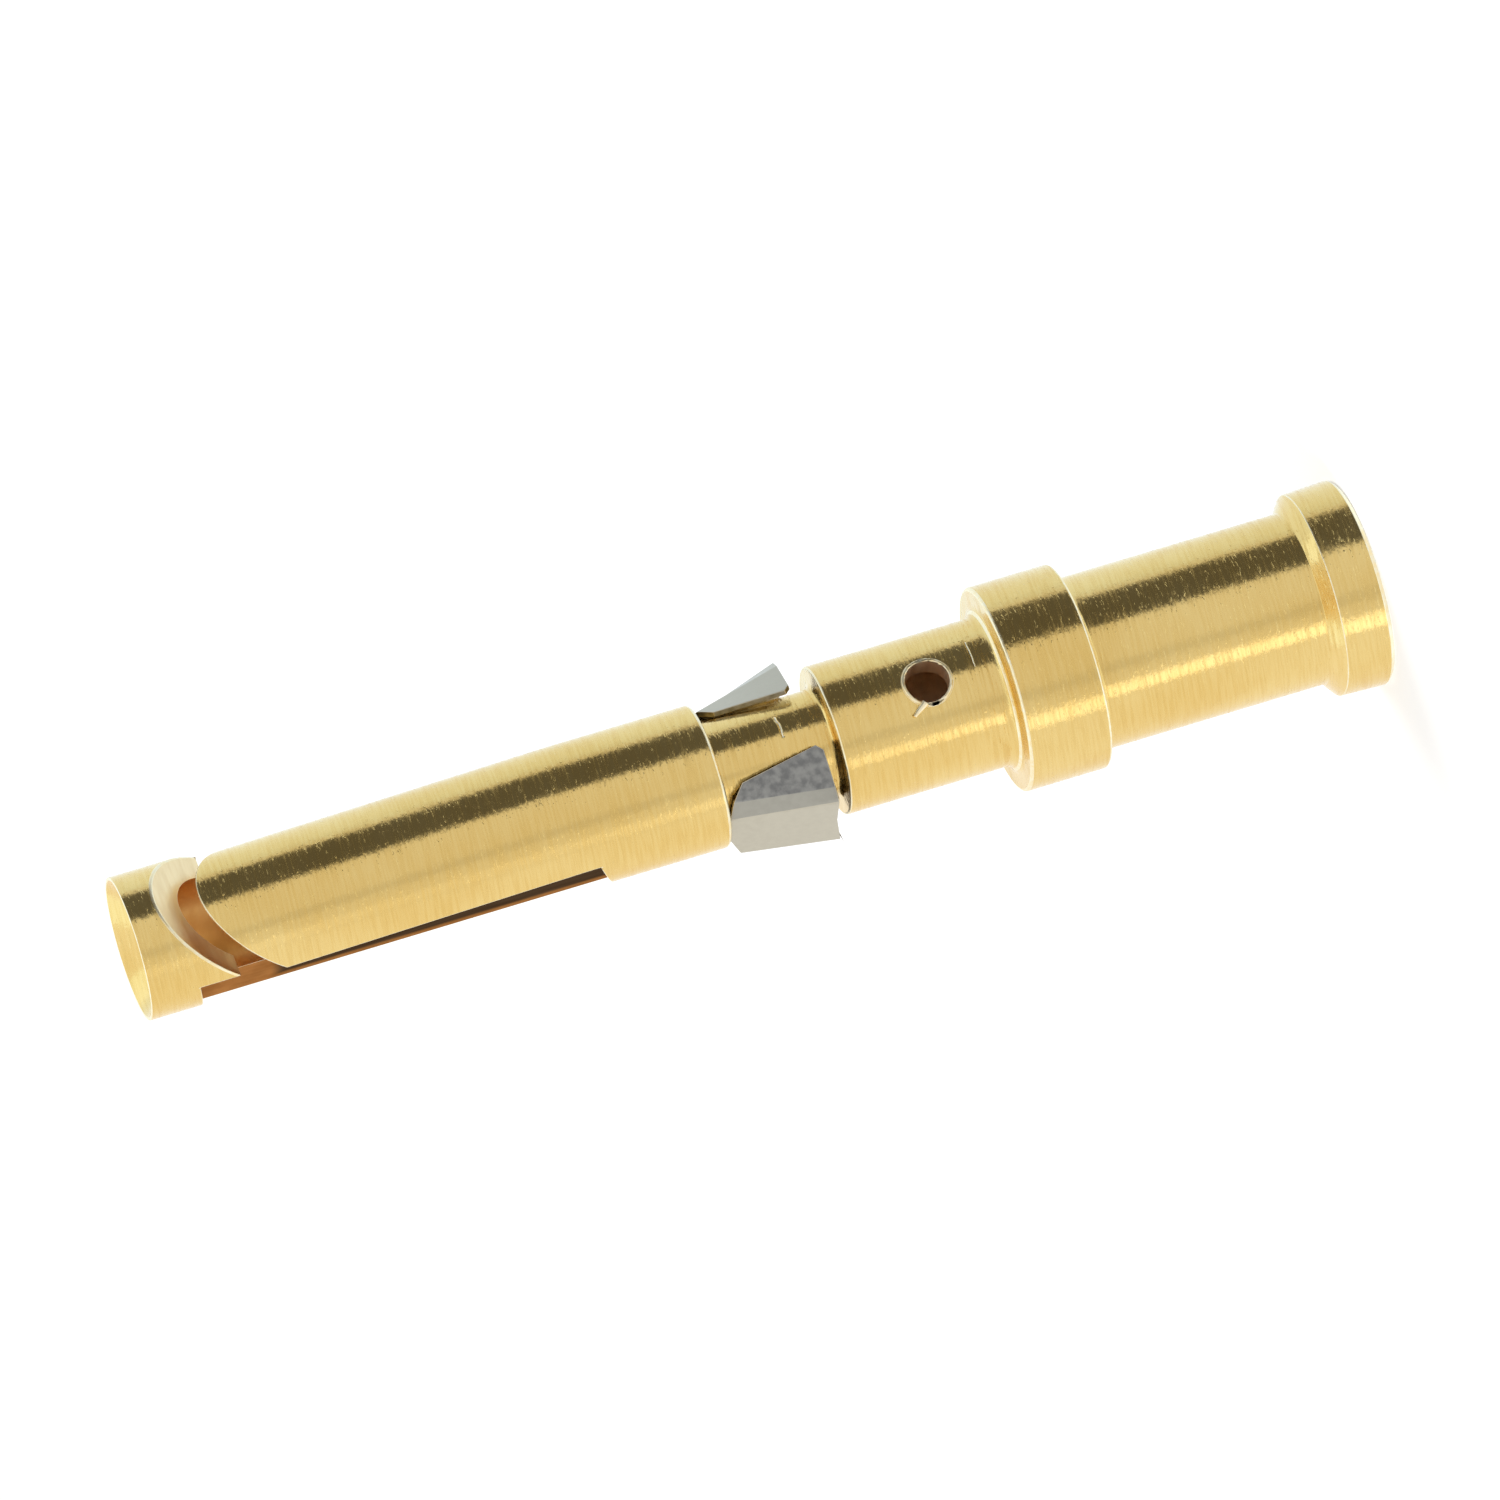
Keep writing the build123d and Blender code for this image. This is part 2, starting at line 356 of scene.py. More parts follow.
def ease_rim(body):
    """Rounds the rim of the inspection hole over on both sides."""
    outward = hole_side()
    centre = Vector((0, 0, HOLE_Z))

    def on_top(place, radius):
        off = place - centre
        sideways = off - outward * off.dot(outward)
        top = REAR_BODY_RADIUS + RIM_HEIGHT - NEAR
        return place.xy.length > top and abs(sideways.length - radius) < NEAR

    ease(body, lambda place: on_top(place, HOLE_RADIUS), RIM_EDGE)
    ease(body, lambda place: on_top(place, RIM_RADIUS), RIM_EDGE)


def set_arm(body):
    """Bends the spring arm inwards over a short stretch above its root."""
    bend_length = ARM_BEND_RADIUS * ARM_SET
    pitch = bend_length / ARM_BEND_STEPS
    stations = [ARM_ROOT_Z + pitch * (step + 0.5) for step in range(ARM_BEND_STEPS)]
    select_only(body)
    edit()
    for station in stations:
        bpy.ops.mesh.select_all(action="SELECT")
        bpy.ops.mesh.bisect(plane_co=(0, 0, station), plane_no=(0, 0, 1), threshold=SAME_POINT)
    leave_edit()

    def on_arm(place):
        below_saw = saw_plane(place.y) - SAW_LENGTH / 2
        return place.y < SAME_POINT - CUT_LEVEL and ARM_ROOT_Z < place.z < below_saw

    heights = {v.index: v.co.z for v in body.data.vertices if on_arm(v.co)}
    edit()
    hinge = Vector((0, 0, stations[0]))
    turned_so_far = 0
    for step, station in enumerate(stations):
        pick(body, lambda v: heights.get(v.index, 0) > station + SAME_POINT)
        bpy.ops.transform.rotate(
            value=ARM_SET / ARM_BEND_STEPS,
            orient_axis="X",
            center_override=hinge,
        )
        turned_so_far += ARM_SET / ARM_BEND_STEPS
        hinge = hinge + Vector((0, sin(turned_so_far), cos(turned_so_far))) * pitch
    leave_edit()


def ease(piece, wanted, width):
    """Rounds over the edges whose two ends are both wanted, and gives them the pale edge finish, a
    painted highlight.
    """
    select_only(piece)
    edit()
    ends = piece.data.vertices
    places = {}

    def both(edge):
        return all(places.setdefault(end, wanted(ends[end].co)) for end in edge.vertices)

    pick(piece, both, "EDGE")
    bpy.ops.mesh.bevel(
        offset=width,
        segments=EASED_FACETS,
        affect="EDGES",
        clamp_overlap=False,
        material=EDGE,
    )
    leave_edit()


def freed_edge(place):
    """True on the tube's outer edges along the slanting cut and at the level of the side cuts."""
    drop = saw_plane(place.y) - place.z
    on_saw = place.y < NEAR - CUT_LEVEL and min(abs(drop), abs(drop - SAW_LENGTH)) < NEAR
    in_cut = ARM_ROOT_Z - NEAR < place.z < MOUTH_Z - LEFT_CUT_FRONT + NEAR
    on_level = abs(place.y + CUT_LEVEL) < NEAR and in_cut
    return abs(place.xy.length - TUBE_RADIUS) < NEAR and (on_saw or on_level)


def turned_finish(middle, normal):
    """The finish of a face off the lathe: the broken edges and a band at the collar's root get the
    pale edge finish as a painted highlight; darker in the socket bore, and the wire bore takes the
    drilled finish with its painted light.
    """
    radius = middle.xy.length
    if radius < WIRE_BORE_RADIUS + NEAR and WIRE_BORE_CHAMFER < middle.z < MOUTH_Z - MOUTH_DEPTH:
        return BORED if middle.z > HOLE_Z + REACH else DRILLED
    outer = [
        (COLLAR_Z, FLANGE_REAR_RADIUS, FLANGE_CHAMFER),
        (NECK_Z - REAR_BODY_LENGTH / 2, COLLAR_RADIUS, COLLAR_EDGE),
        (TUBE_Z, REAR_BODY_RADIUS, REAR_BODY_EDGE),
        (MOUTH_Z + REACH, TUBE_RADIUS, TUBE_EDGE),
    ]
    largest, broken = next((size, edge) for top, size, edge in outer if middle.z < top)
    on_edge = radius > largest - broken and EDGE_TILT < abs(normal.z)
    on_root_highlight = ROOT_HIGHLIGHT_BAND[0] < radius < ROOT_HIGHLIGHT_BAND[1] and 0 < middle.z - REAR_BODY_Z < COLLAR_ROOT
    return EDGE if on_edge or on_root_highlight else TURNED


def add_burr(body):
    """The small flake of metal that the drill left lying over the edge of the inspection hole."""
    bpy.ops.object.select_all(action="DESELECT")
    bpy.ops.mesh.primitive_cone_add(
        vertices=BURR_FACETS,
        radius1=BURR_START_RADIUS,
        radius2=BURR_END_RADIUS,
        depth=BURR_LENGTH,
        location=BURR_MIDDLE,
        rotation=BURR_DIRECTION.to_track_quat("Z", "Y").to_euler(),
    )
    burr = bpy.context.active_object
    # The burr takes the pale edge finish, a painted highlight
    give_finish(burr, body, EDGE)
    select_only(body)
    burr.select_set(True)
    bpy.ops.object.join()


def make_body(finishes):
    """The turned body with its cuts, its inspection hole and the bent spring arm."""
    body = turned("contact_turned", body_outline())
    for finish in finishes:
        body.data.materials.append(finish)
    for face in body.data.polygons:
        face.material_index = turned_finish(face.center, face.normal)
    cut(body, side_cutter(-1, LEFT_CUT_FRONT), MILLED)
    cut(body, side_cutter(1, RIGHT_CUT_FRONT), MILLED)
    cut(body, saw_cutter(), SAWN)
    # The rim takes the pale edge finish, a painted highlight
    cut(body, make_rim(), EDGE, "UNION")
    cut(body, hole_bar(HOLE_RADIUS, 0), DRILLED)
    ease_rim(body)
    ease(body, freed_edge, CUT_EDGE)
    set_arm(body)
    add_burr(body)
    return body


# Retention clip: outer corners of its sheet section, from the back corner to the lip's free edge
SHEET = 0.1
CLIP_CLEARANCE = 0.02
CLIP_OUTER = NECK_RADIUS + CLIP_CLEARANCE + SHEET
CLIP_TOP_Z = TUBE_Z - CLIP_CLEARANCE
CLIP_LENGTH = 1.88
CLIP_BASE_Z = CLIP_TOP_Z - CLIP_LENGTH
FOLD_DROP_TOP = 0.87
FOLD_ANGLE_TOP = radians(18)
FOLD_WIDTH_TOP = 0.36
LIP_ANGLE_TOP = radians(48)
LIP_WIDTH_TOP = 0.22
LIP_SETBACK_SLOPE = radians(44)
CORNER_SPREAD = 0.31
WALL_SPREAD = 0.5
FOLD_DROP_BASE = 0.5
FOLD_ANGLE_BASE = radians(53)
FOLD_WIDTH_BASE = 0.265
LIP_ANGLE_BASE = radians(66)
LIP_WIDTH_BASE = 0.83
BACK_CORNER_SETBACK = 0.22
BACK_CORNER_RUN = 0.55
LANCE_STEP_Y = 0.2
LANCE_SHORTENING = {-1: 0.1, 1: 0.23}
LANCE_TIP_CHAMFER = 0.13
FOLD_INNER_RADIUS = 0.03
LANCE_ROWS = 12

# Faces that lean at least this much towards the open side are lip or fold, not wall
FLAT_TILT = radians(4)

# The finishes of the sheet, in the order of the clip's materials; LIP and FOLD are painted shade
SHEET_PLAIN, LIP, FOLD = range(3)


def clip_half(corner_x, fold_x, fold_drop, fold, lip):
    """Outer corners of the clip's +X half; fold and lip are each an angle and a width."""
    points = [Vector((corner_x, CLIP_OUTER)), Vector((fold_x, fold_drop - CLIP_OUTER))]
    for angle, width in (fold, lip):
        points.append(points[-1] - Vector((sin(angle), cos(angle))) * width)
    return points


def clip_line(name, half, height):
    """The outer section line of the clip, rounded at its folds, from one free edge to the other."""
    corners = [(-place.x, place.y) for place in reversed(half)] + [tuple(place) for place in half]
    bends = [0] + [FOLD_INNER_RADIUS + SHEET] * (len(corners) - 2) + [0]
    line = rounded([(*corner, bend) for corner, bend in zip(corners, bends)])
    chain = line_through(name, [(*place, height) for place in line])
    leave_edit()
    return chain


def score(piece, wanted, point, normal):
    """Cuts the wanted faces of a sheet in two where they cross a plane."""
    pick(piece, wanted, "FACE")
    bpy.ops.mesh.bisect(plane_co=point, plane_no=normal, threshold=SAME_POINT)


def trim(piece, wanted, point, normal):
    """Cuts the wanted faces of a sheet by a plane and clears what lies on the normal's side."""
    score(piece, wanted, point, normal)
    beyond = Vector(normal).dot
    pick(piece, lambda face: wanted(face) and beyond(face.center - Vector(point)) > SAME_POINT, "FACE")
    bpy.ops.mesh.delete(type="FACE")


def trim_lance(clip, side, shortening, lip_edge_x):
    """Trims one side: the slope of its lip, the lance's end and corner, and the end behind them."""
    end_z = CLIP_BASE_Z + shortening
    fold_start = (side * CLIP_OUTER, FOLD_DROP_TOP - CLIP_OUTER, CLIP_TOP_Z)
    lip_slope = (-side * cos(LIP_SETBACK_SLOPE), 0, sin(LIP_SETBACK_SLOPE))
    corner = (side * (lip_edge_x + LANCE_TIP_CHAMFER), 0, end_z)
    end_slope = (0, -shortening, LANCE_STEP_Y - CLIP_OUTER)

    def beyond_fold(face):
        return face.center.x * side > 0 and face.normal.y < -sin(FLAT_TILT)

    def on_lance(face):
        return face.center.x * side > 0 and face.center.y < LANCE_STEP_Y

    def behind_lance(face):
        return face.center.x * side > 0 and face.center.y > LANCE_STEP_Y

    trim(clip, beyond_fold, fold_start, lip_slope)
    trim(clip, on_lance, (0, 0, end_z), (0, 0, -1))
    trim(clip, on_lance, corner, (-side, 0, -1))
    trim(clip, behind_lance, (0, LANCE_STEP_Y, end_z), end_slope)


def trim_clip(clip, lip_edge_x):
    """Trims the flat sheet's outline: rear corners, sloping lips and the free ends of the lances."""
    select_only(clip)
    edit()
    back_slope = atan(BACK_CORNER_SETBACK / BACK_CORNER_RUN)
    back_start = Vector((0, CLIP_OUTER - BACK_CORNER_RUN, CLIP_TOP_Z))

    def anywhere(face):
        return True

    def at_back(face):
        return face.center.y > back_start.y

    score(clip, anywhere, back_start, (0, 1, 0))
    score(clip, anywhere, (0, LANCE_STEP_Y, 0), (0, 1, 0))
    trim(clip, at_back, back_start, (0, sin(back_slope), cos(back_slope)))
    for side, shortening in LANCE_SHORTENING.items():
        trim_lance(clip, side, shortening, lip_edge_x)
    leave_edit()


def give_sheet_finishes(clip, finishes, top_half, base_half):
    """The near lip gets a dark painted shade, and the fold beside it a lighter painted shade between
    it and the walls.
    """
    for finish in finishes:
        clip.data.materials.append(finish)
    for face in clip.data.polygons:
        share = (CLIP_TOP_Z - face.center.z) / CLIP_LENGTH
        fold_start, lip_start = (top_half[i].lerp(base_half[i], share) for i in (1, 2))
        if face.center.x < 0 and face.center.y < fold_start.y:
            face.material_index = LIP if face.center.y < lip_start.y else FOLD


def make_clip(finishes):
    """The folded sheet round the neck, which opens out into two lances towards the wire end."""
    base_half = clip_half(
        CLIP_OUTER + CORNER_SPREAD,
        CLIP_OUTER + WALL_SPREAD,
        FOLD_DROP_BASE,
        (FOLD_ANGLE_BASE, FOLD_WIDTH_BASE),
        (LIP_ANGLE_BASE, LIP_WIDTH_BASE),
    )
    top_half = clip_half(
        CLIP_OUTER,
        CLIP_OUTER,
        FOLD_DROP_TOP,
        (FOLD_ANGLE_TOP, FOLD_WIDTH_TOP),
        (LIP_ANGLE_TOP, LIP_WIDTH_TOP),
    )
    base = clip_line("clip_base", base_half, CLIP_BASE_Z)
    clip = clip_line("clip_folded", top_half, CLIP_TOP_Z)
    base.select_set(True)
    clip.select_set(True)
    bpy.ops.object.join()
    edit()
    bpy.ops.mesh.select_all(action="SELECT")
    bpy.ops.mesh.bridge_edge_loops(number_cuts=LANCE_ROWS - 1, interpolation="LINEAR")
    bpy.ops.mesh.select_all(action="SELECT")
    bpy.ops.mesh.normals_make_consistent(inside=False)
    leave_edit()
    outwards = sum(face.normal.xy.dot(face.center.xy) * face.area for face in clip.data.polygons)
    if outwards < 0:
        clip.data.flip_normals()
    trim_clip(clip, base_half[-1].x)
    give_sheet_finishes(clip, finishes, top_half, base_half)

    # The outer side stays where it is and the sheet grows inwards
    select_only(clip)
    sheet = clip.modifiers.new("sheet", "SOLIDIFY")
    sheet.thickness = SHEET
    sheet.offset = -1
    sheet.use_even_offset = True
    # The sheet's cut edges take the lip's dark painted shade
    sheet.material_offset_rim = LIP
    bpy.ops.object.modifier_apply(modifier=sheet.name)
    return clip


def finish_piece(piece, name, node, edge_finish):
    """Breaks the edges, smooths the shading and brings the piece from millimetres to metres."""
    select_only(piece)
    edges = piece.modifiers.new("edge_break", "BEVEL")
    edges.width = EDGE_BREAK
    edges.segments = BROKEN_FACETS
    edges.limit_method = "ANGLE"
    edges.angle_limit = SHARP_FROM
    edges.use_clamp_overlap = False
    # On the body the broken edges take the pale edge finish, a painted highlight
    edges.material = edge_finish
    bpy.ops.object.modifier_apply(modifier=edges.name)
    edit()
    bpy.ops.mesh.select_mode(type="VERT")
    bpy.ops.mesh.select_all(action="SELECT")
    bpy.ops.mesh.remove_doubles(threshold=SAME_POINT)
    leave_edit()
    bpy.ops.object.shade_smooth_by_angle(angle=SMOOTH_UP_TO)

    # Large flat faces keep their own direction, and the narrow ones beside them turn with them
    shading = piece.modifiers.new("even_shading", "WEIGHTED_NORMAL")
    shading.mode = "FACE_AREA"
    shading.weight = 100
    shading.keep_sharp = True
    bpy.ops.object.modifier_apply(modifier=shading.name)
    piece.scale = (METRES_PER_MM,) * 3
    bpy.ops.object.transform_apply(location=True, rotation=True, scale=True)
    piece.name = name
    piece.data.name = name
    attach(piece, "root")
    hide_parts(node)


class Value:
    """A shader socket that takes part in plain arithmetic; each sign adds its own Math node."""

    def __init__(self, shader, socket):
        self.shader = shader
        self.socket = socket

    def math(self, operation, *others):
        inputs = {index: value for index, value in enumerate((self,) + others)}
        return self.shader.node("ShaderNodeMath", {"operation": operation}, inputs)

    def __add__(self, other):
        return self.math("ADD", other)

    def __sub__(self, other):
        return self.math("SUBTRACT", other)

    def __mul__(self, other):
        return self.math("MULTIPLY", other)

    def __truediv__(self, other):
        return self.math("DIVIDE", other)

    def __rsub__(self, other):
        return self.shader.node("ShaderNodeMath", {"operation": "SUBTRACT"}, {0: other, 1: self})

    __radd__ = __add__
    __rmul__ = __mul__


class Shader:
    """The nodes of a material or a world under construction."""

    def __init__(self, owner):
        self.owner = owner
        owner.use_nodes = True
        self.tree = owner.node_tree
        self.tree.nodes.clear()

    def node(self, kind, settings=None, inputs=None, output=0):
        """Adds a node, sets its settings, then fills its sockets with values or links."""
        made = self.tree.nodes.new(kind)
        for key, value in (settings or {}).items():
            if key == "stops":
                elements = made.color_ramp.elements
                while len(elements) < len(value):
                    elements.new(1)
                for element, (place, colour) in zip(elements, value):
                    element.position = place
                    element.color = colour
            else:
                setattr(made, key, value)
        for key, value in (inputs or {}).items():
            if isinstance(value, Value):
                self.tree.links.new(value.socket, made.inputs[key])
            else:
                made.inputs[key].default_value = value
        return Value(self, made.outputs[output])

    def place(self, scale=(1, 1, 1), turn=(0, 0, 0)):
        """Object coordinates in millimetres, turned and then scaled."""
        whole = self.node("ShaderNodeTexCoord", output="Object")
        upright = self.node("ShaderNodeMapping", {}, {"Vector": whole, "Rotation": turn})
        per_mm = tuple(axis / METRES_PER_MM for axis in scale)
        return self.node("ShaderNodeVectorMath", {"operation": "MULTIPLY"}, {0: upright, 1: per_mm})

    def axes(self, vector):
        """The three numbers of a vector."""
        return [self.node("ShaderNodeSeparateXYZ", {}, {0: vector}, output=axis) for axis in range(3)]

    def noise(self, scale, detail=2.0, turn=(0, 0, 0)):
        """Noise with so many features a millimetre along each axis, centred on 0.5."""
        inputs = {"Vector": self.place(scale, turn), "Scale": 1.0, "Detail": detail}
        return self.node("ShaderNodeTexNoise", {}, inputs)

    def ramp(self, value, low, high):
        """0 up to low, 1 from high on, and smooth between them."""
        inputs = {"Value": value, "From Min": low, "From Max": high}
        return self.node("ShaderNodeMapRange", {"interpolation_type": "SMOOTHSTEP"}, inputs)

    def mix(self, share, first, second):
        """From the first colour at share 0 to the second at share 1."""
        inputs = {0: share, 6: first, 7: second}
        return self.node("ShaderNodeMix", {"data_type": "RGBA"}, inputs, output=2)

    def bump(self, height):
        """A normal for a height in metres."""
        return self.node("ShaderNodeBump", {}, {"Strength": 1.0, "Distance": 1.0, "Height": height})

    def output(self, surface, kind="ShaderNodeOutputMaterial"):
        finished = self.tree.nodes.new(kind)
        self.tree.links.new(surface.socket, finished.inputs["Surface"])
        return self.owner


def new_material(name):
    return Shader(bpy.data.materials.new(name))


def grey(level):
    return (level, level, level, 1)


# Turn of the body's side that the photograph shows
FRONT = radians(-120)

# Scratches on the turned outside: height, lowest and highest place across the front, width
SCRATCHES = [
    (10.46, 0.25, 0.64, 0.035),
    (7.02, 0.47, 0.93, 0.022),
]

# Patterns of the marks: features a millimetre along each axis, and detail
GROOVES = ((1.3, 1.3, 24), 5.0)
DENTS = ((7, 7, 17), 3.0)
FLECKS = ((7, 7, 26), 2.0)
CLOUDS = ((0.7, 0.7, 0.35), 2.0)
WEAR = ((9, 9, 9), 3.0)
MILL_MARKS = ((12, 12, 1), 3.0)
SAW_MARKS = ((2, 14, 14), 3.0)
BORE_MARKS = ((1, 1, 15), 3.0)
STAINS = ((2.5, 2.5, 2.5), 3.0)
MOTTLE = ((7, 7, 7), 5.0)
GRAIN = ((25, 25, 25), 2.0)
WANDER = ((5, 5, 5), 0.0)

# The grooves do not run quite square to the axis
GROOVE_TURN = (radians(4), radians(-5), 0)

# The part of a pattern that is spread out to 0 and 1
SOFT = (0.3, 0.7)
FIRM = (0.35, 0.65)
GROOVE_TOPS = (0.45, 0.7)
DENT_TOPS = (0.52, 0.75)
FLECK_TOPS = (0.6, 0.74)

# Depths of the marks in millimetres, and how far a scratch wanders
GROOVE_DEPTH = 0.001
DENT_DEPTH = 0.0048
FLECK_DEPTH = 0.003
TOOL_MARK_DEPTH = 0.0015
MOTTLE_DEPTH = 0.003
GRAIN_DEPTH = 0.0012
SCRATCH_DEPTH = 0.03
SCRATCH_WANDER = 0.05

# Roughness of each finish where it is smoothest, and what its marks add
TURNED_ROUGHNESS = 0.16
GROOVE_ROUGHNESS = 0.15
DENT_ROUGHNESS = 0.1
EDGE_ROUGHNESS = 0.3
WEAR_ROUGHNESS = 0.1
MILLED_ROUGHNESS = 0.65
BORED_ROUGHNESS = 0.35
DRILLED_ROUGHNESS = 0.45
TOOL_MARK_ROUGHNESS = 0.15
SAWN_ROUGHNESS = 0.28
SAW_MARK_ROUGHNESS = 0.12
STEEL_ROUGHNESS = 0.3
MOTTLE_ROUGHNESS = 0.12

# Turning marks spread the light along the axis more than round it
TURNED_SPREAD = 0.85
SPREAD_TURN = 0.25

# Colours between which each finish varies
TURNED_TONES = ((0.885, 0.66, 0.262, 1), (0.81, 0.555, 0.18, 1))
# Painted highlight: the pale colours of the broken edges, the root band, the rim and the burr
EDGE_HIGHLIGHT_TONES = ((0.98, 0.81, 0.47, 1), (1.0, 0.9, 0.64, 1))
MILLED_TONES = ((0.53, 0.235, 0.06, 1), (0.44, 0.185, 0.04, 1))
# Painted reflection: the slanting cut's brown and pale tones, blended across its face
SAWN_PAINTED_REFLECTION_TONES = ((0.74, 0.42, 0.14, 1), (0.86, 0.67, 0.38, 1))
BORED_TONES = ((0.86, 0.52, 0.19, 1), (0.78, 0.44, 0.14, 1))
# Painted light: tones paler than the turned gold, that light up the drilled hole and the wire bore
DRILLED_PAINTED_LIGHT_TONES = ((0.97, 0.74, 0.5, 1), (0.9, 0.66, 0.42, 1))
STEEL_TONES = ((0.54, 0.5, 0.4, 1), (0.59, 0.55, 0.445, 1))
# Painted shade: the dark lip and its cut edges, and the half-dark fold
LIP_PAINTED_SHADE_TONES = ((0.2, 0.2, 0.195, 1), (0.36, 0.355, 0.335, 1))
FOLD_PAINTED_SHADE_TONES = ((0.38, 0.365, 0.315, 1), (0.42, 0.405, 0.35, 1))
SCRATCH_TONE = (1.0, 0.93, 0.74, 1)
# Painted shade: the near-black colour of the web's sides under the spring arm
PAINTED_ARM_SHADE = (0.09, 0.045, 0.015, 1)

# The painted shade of the arm on the web's sides ends above this height, and partly at their back edge
FREE_FROM_Z = (19.5, 19.8)
FREE_FROM_Y = (0.83, 0.92)
FREE_AT_BACK = 0.9

# Where across the front the slanting cut turns from brown to pale, a painted reflection
SAWN_PAINTED_REFLECTION_TURN = (-0.35, 0.12)


def scratched(shader):
    """How far into one of the few deeper scratches round the turned outside a place lies, 0 to 1."""
    towards, across, along = shader.axes(shader.place(turn=(0, 0, -FRONT)))
    wander = (shader.noise(*WANDER) - 0.5) * SCRATCH_WANDER
    depth = 0
    for place, low, high, width in SCRATCHES:
        off = (along + wander - place).math("ABSOLUTE")
        ends = shader.ramp(across, low, low + width) * shader.ramp(across, high, high - width)
        facing = towards.math("GREATER_THAN", 0.0)
        depth = shader.ramp(off, width, 0.0) * ends * facing + depth
    return depth


def turned_gold():
    """Turned copper alloy under gold: satin, with fine uneven turning marks round the axis."""
    shader = new_material("gold_turned")
    grooves = shader.noise(*GROOVES, turn=GROOVE_TURN)
    dents = shader.noise(*DENTS)
    flecks = shader.ramp(shader.noise(*FLECKS), *FLECK_TOPS)
    clouds = shader.noise(*CLOUDS)
    scratch = scratched(shader)
    relief = grooves * GROOVE_DEPTH + dents * DENT_DEPTH + flecks * FLECK_DEPTH
    rough = shader.ramp(grooves, *GROOVE_TOPS) * GROOVE_ROUGHNESS
    rough = rough + shader.ramp(dents, *DENT_TOPS) * DENT_ROUGHNESS + TURNED_ROUGHNESS
    tone = shader.ramp(clouds, *FIRM) * 0.5 + shader.ramp(grooves, *FIRM) * 0.5
    plain = shader.mix(tone, *TURNED_TONES)
    base = shader.node("ShaderNodeBsdfPrincipled", {}, {
        "Base Color": shader.mix(scratch, plain, SCRATCH_TONE),
        "Metallic": 1.0,
        "Roughness": rough,
        "Anisotropic": TURNED_SPREAD,
        "Anisotropic Rotation": SPREAD_TURN,
        "Normal": shader.bump((relief - scratch * SCRATCH_DEPTH) * METRES_PER_MM),
    })
    return shader.output(base)


def edge_gold():
    """Edges painted bright and pale as a painted highlight, varying at random."""
    shader = new_material("gold_edge_painted_highlight")
    wear = shader.noise(*WEAR)
    base = shader.node("ShaderNodeBsdfPrincipled", {}, {
        "Base Color": shader.mix(shader.ramp(wear, *FIRM), *EDGE_HIGHLIGHT_TONES),
        "Metallic": 1.0,
        "Roughness": shader.ramp(wear, *SOFT) * WEAR_ROUGHNESS + EDGE_ROUGHNESS,
    })
    return shader.output(base)


def milled_gold():
    """The web's milled sides: dull, with the spring arm's shade painted dark into the colour where the
    arm overhangs them.
    """
    shader = new_material("gold_milled_painted_shade")
    marks = shader.noise(*MILL_MARKS)
    stains = shader.noise(*STAINS)
    back, height = shader.axes(shader.place())[1:]
    at_back = shader.ramp(back, *FREE_FROM_Y) * FREE_AT_BACK
    free = shader.ramp(height, *FREE_FROM_Z).math("MAXIMUM", at_back)
    tone = shader.mix(shader.ramp(stains, *SOFT), *MILLED_TONES)
    base = shader.node("ShaderNodeBsdfPrincipled", {}, {
        # Painted shade of the arm, blended out above FREE_FROM_Z and towards the back edge
        "Base Color": shader.mix(free, PAINTED_ARM_SHADE, tone),
        "Metallic": 1.0,
        "Roughness": shader.ramp(marks, *SOFT) * TOOL_MARK_ROUGHNESS + MILLED_ROUGHNESS,
    })
    return shader.output(base)


def sawn_gold():
    """The slanting cut: pale on one side and browner round the other, a painted reflection across its
    face.
    """
    shader = new_material("gold_sawn_painted_reflection")
    marks = shader.noise(*SAW_MARKS)
    across = shader.axes(shader.place(turn=(0, 0, -FRONT)))[1]
    base = shader.node("ShaderNodeBsdfPrincipled", {}, {
        "Base Color": shader.mix(shader.ramp(across, *SAWN_PAINTED_REFLECTION_TURN), *SAWN_PAINTED_REFLECTION_TONES),
        "Metallic": 1.0,
        "Roughness": shader.ramp(marks, *SOFT) * SAW_MARK_ROUGHNESS + SAWN_ROUGHNESS,
        "Normal": shader.bump(marks * TOOL_MARK_DEPTH * METRES_PER_MM),
    })
    return shader.output(base)


def bored_gold(name, tones, roughness):
    """The wall of a bore or a drilled hole: stained, with tool marks round the axis; the drilled
    hole's paler tones paint light into it.
    """
    shader = new_material(name)
    marks = shader.noise(*BORE_MARKS)
    stains = shader.noise(*STAINS)
    base = shader.node("ShaderNodeBsdfPrincipled", {}, {
        "Base Color": shader.mix(shader.ramp(stains, *SOFT), *tones),
        "Metallic": 1.0,
        "Roughness": shader.ramp(marks, *SOFT) * TOOL_MARK_ROUGHNESS + roughness,
        "Normal": shader.bump(marks * TOOL_MARK_DEPTH * METRES_PER_MM),
    })
    return shader.output(base)


def clip_steel(name, tones):
    """Rolled spring strip: dull grey, mottled where the rolls pressed it; the lip's and fold's darker
    tones are painted shade.
    """
    shader = new_material(name)
    mottle = shader.noise(*MOTTLE)
    grain = shader.noise(*GRAIN)
    base = shader.node("ShaderNodeBsdfPrincipled", {}, {
        "Base Color": shader.mix(shader.ramp(mottle, *SOFT), *tones),
        "Metallic": 1.0,
        "Roughness": shader.ramp(mottle, *SOFT) * MOTTLE_ROUGHNESS + STEEL_ROUGHNESS,
        "Normal": shader.bump((mottle * MOTTLE_DEPTH + grain * GRAIN_DEPTH) * METRES_PER_MM),
    })
    return shader.output(base)


# Studio
FLOOR_SIZE = 2.0
FLOOR_LEVEL = 0.8
FLOOR_GLOW = 0.3

